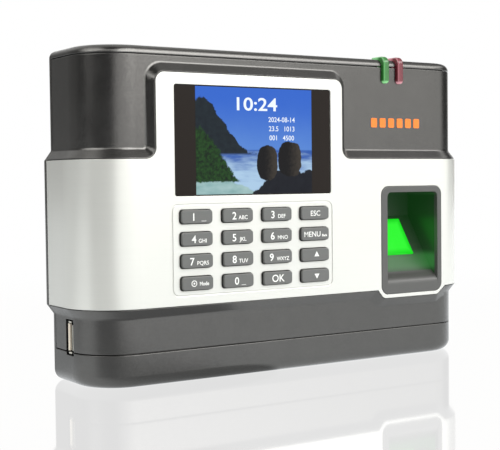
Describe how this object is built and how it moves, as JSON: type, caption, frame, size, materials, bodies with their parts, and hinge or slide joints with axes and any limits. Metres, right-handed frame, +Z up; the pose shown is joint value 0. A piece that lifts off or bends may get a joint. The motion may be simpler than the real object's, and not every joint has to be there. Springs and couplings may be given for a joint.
{
  "type": "fingerprint scanner terminal",
  "caption": "Wall or desk access terminal: silver wrap-round face, colour display, keypad, and a sloping finger well with a green-lit window.",
  "frame": {"origin": "middle of the unit's footprint, on the plane of its flat bottom", "axes": "+X to the viewer's right, +Y from the face into the unit, +Z up"},
  "size_m": [0.2, 0.0436, 0.1363],
  "materials": {
    "amber_film": "polyimide film",
    "black_plastic": "fine moulded grain",
    "bracket_steel": "zinc-plated sheet",
    "cable_rubber": "smooth jacket",
    "can_aluminium": "drawn can",
    "chip_black": "moulded epoxy",
    "circuit_board": "solder mask",
    "clear_window": "clear hard-coated acrylic",
    "contact_metal": "gold flash",
    "dark_paint": "dark grey metallic paint with a fine sparkle on moulded plastic, satin",
    "display_glass": "lit colour display",
    "foam_rubber": "closed-cell foam",
    "green_pipe": "translucent green",
    "green_plastic": "moulded",
    "grey_plastic": "smooth moulded grey",
    "key_plastic": "satin grey with printed legends",
    "lamp_resin": "clear resin",
    "lit_glass": "polished optical glass lit green from behind",
    "plated_steel": "bright nickel plate",
    "red_pipe": "translucent red",
    "silicone": "moulded silicone",
    "silver_paint": "bright silver metallic paint on moulded plastic, satin gloss",
    "speaker_black": "coated paper and steel",
    "well_plastic": "smooth moulded dark grey",
    "white_plastic": "plain moulded"
  },
  "bodies": {
    "unit": {"board_chips": "chip_black", "board_connectors": "white_plastic", "board_screws": "plated_steel", "capacitors": "can_aluminium", "case_screws": "plated_steel", "coin_cell": "plated_steel", "coin_cell_holder": "black_plastic", "display_window": "clear_window", "ethernet_contacts": "contact_metal", "ethernet_jack": "black_plastic", "front_cover": "dark_paint", "key_mat": "silicone", "keypad_board": "circuit_board", "keypad_ribbon": "amber_film", "lcd_backlight": "white_plastic", "lcd_flex": "amber_film", "lcd_frame": "black_plastic", "lcd_panel": "display_glass", "led_board": "circuit_board", "light_pipe_green": "green_pipe", "light_pipe_red": "red_pipe", "lock_screw": "plated_steel", "main_board": "circuit_board", "power_jack": "black_plastic", "power_pin": "contact_metal", "rear_housing": "dark_paint", "sensor_bezel": "grey_plastic", "sensor_board": "circuit_board", "sensor_cable": "cable_rubber", "sensor_module": "black_plastic", "sensor_well": "well_plastic", "sensor_window": "lit_glass", "silver_fascia": "silver_paint", "small_screws": "plated_steel", "speaker": "speaker_black", "speaker_gasket": "foam_rubber", "speaker_leads": "cable_rubber", "status_leds": "lamp_resin", "terminal_block": "green_plastic", "terminal_screws": "plated_steel", "usb_contacts": "contact_metal", "usb_shell": "plated_steel", "usb_tongue": "black_plastic", "wall_bracket": "bracket_steel"},
    "key_0": {"key_0": "key_plastic"},
    "key_1": {"key_1": "key_plastic"},
    "key_2": {"key_2": "key_plastic"},
    "key_3": {"key_3": "key_plastic"},
    "key_4": {"key_4": "key_plastic"},
    "key_5": {"key_5": "key_plastic"},
    "key_6": {"key_6": "key_plastic"},
    "key_7": {"key_7": "key_plastic"},
    "key_8": {"key_8": "key_plastic"},
    "key_9": {"key_9": "key_plastic"},
    "key_down": {"key_down": "key_plastic"},
    "key_esc": {"key_esc": "key_plastic"},
    "key_menu": {"key_menu": "key_plastic"},
    "key_mode": {"key_mode": "key_plastic"},
    "key_ok": {"key_ok": "key_plastic"},
    "key_up": {"key_up": "key_plastic"}
  },
  "joints": [
    {"name": "key_0_press", "type": "slide", "parent": "unit", "child": "key_0", "axis": [0, 1, 0], "range_m": [0, 0.0008], "stiffness_N_per_m": 2500, "springref_m": -0.0002},
    {"name": "key_1_press", "type": "slide", "parent": "unit", "child": "key_1", "axis": [0, 1, 0], "range_m": [0, 0.0008], "stiffness_N_per_m": 2500, "springref_m": -0.0002},
    {"name": "key_2_press", "type": "slide", "parent": "unit", "child": "key_2", "axis": [0, 1, 0], "range_m": [0, 0.0008], "stiffness_N_per_m": 2500, "springref_m": -0.0002},
    {"name": "key_3_press", "type": "slide", "parent": "unit", "child": "key_3", "axis": [0, 1, 0], "range_m": [0, 0.0008], "stiffness_N_per_m": 2500, "springref_m": -0.0002},
    {"name": "key_4_press", "type": "slide", "parent": "unit", "child": "key_4", "axis": [0, 1, 0], "range_m": [0, 0.0008], "stiffness_N_per_m": 2500, "springref_m": -0.0002},
    {"name": "key_5_press", "type": "slide", "parent": "unit", "child": "key_5", "axis": [0, 1, 0], "range_m": [0, 0.0008], "stiffness_N_per_m": 2500, "springref_m": -0.0002},
    {"name": "key_6_press", "type": "slide", "parent": "unit", "child": "key_6", "axis": [0, 1, 0], "range_m": [0, 0.0008], "stiffness_N_per_m": 2500, "springref_m": -0.0002},
    {"name": "key_7_press", "type": "slide", "parent": "unit", "child": "key_7", "axis": [0, 1, 0], "range_m": [0, 0.0008], "stiffness_N_per_m": 2500, "springref_m": -0.0002},
    {"name": "key_8_press", "type": "slide", "parent": "unit", "child": "key_8", "axis": [0, 1, 0], "range_m": [0, 0.0008], "stiffness_N_per_m": 2500, "springref_m": -0.0002},
    {"name": "key_9_press", "type": "slide", "parent": "unit", "child": "key_9", "axis": [0, 1, 0], "range_m": [0, 0.0008], "stiffness_N_per_m": 2500, "springref_m": -0.0002},
    {"name": "key_down_press", "type": "slide", "parent": "unit", "child": "key_down", "axis": [0, 1, 0], "range_m": [0, 0.0008], "stiffness_N_per_m": 2500, "springref_m": -0.0002},
    {"name": "key_esc_press", "type": "slide", "parent": "unit", "child": "key_esc", "axis": [0, 1, 0], "range_m": [0, 0.0008], "stiffness_N_per_m": 2500, "springref_m": -0.0002},
    {"name": "key_menu_press", "type": "slide", "parent": "unit", "child": "key_menu", "axis": [0, 1, 0], "range_m": [0, 0.0008], "stiffness_N_per_m": 2500, "springref_m": -0.0002},
    {"name": "key_mode_press", "type": "slide", "parent": "unit", "child": "key_mode", "axis": [0, 1, 0], "range_m": [0, 0.0008], "stiffness_N_per_m": 2500, "springref_m": -0.0002},
    {"name": "key_ok_press", "type": "slide", "parent": "unit", "child": "key_ok", "axis": [0, 1, 0], "range_m": [0, 0.0008], "stiffness_N_per_m": 2500, "springref_m": -0.0002},
    {"name": "key_up_press", "type": "slide", "parent": "unit", "child": "key_up", "axis": [0, 1, 0], "range_m": [0, 0.0008], "stiffness_N_per_m": 2500, "springref_m": -0.0002}
  ]
}
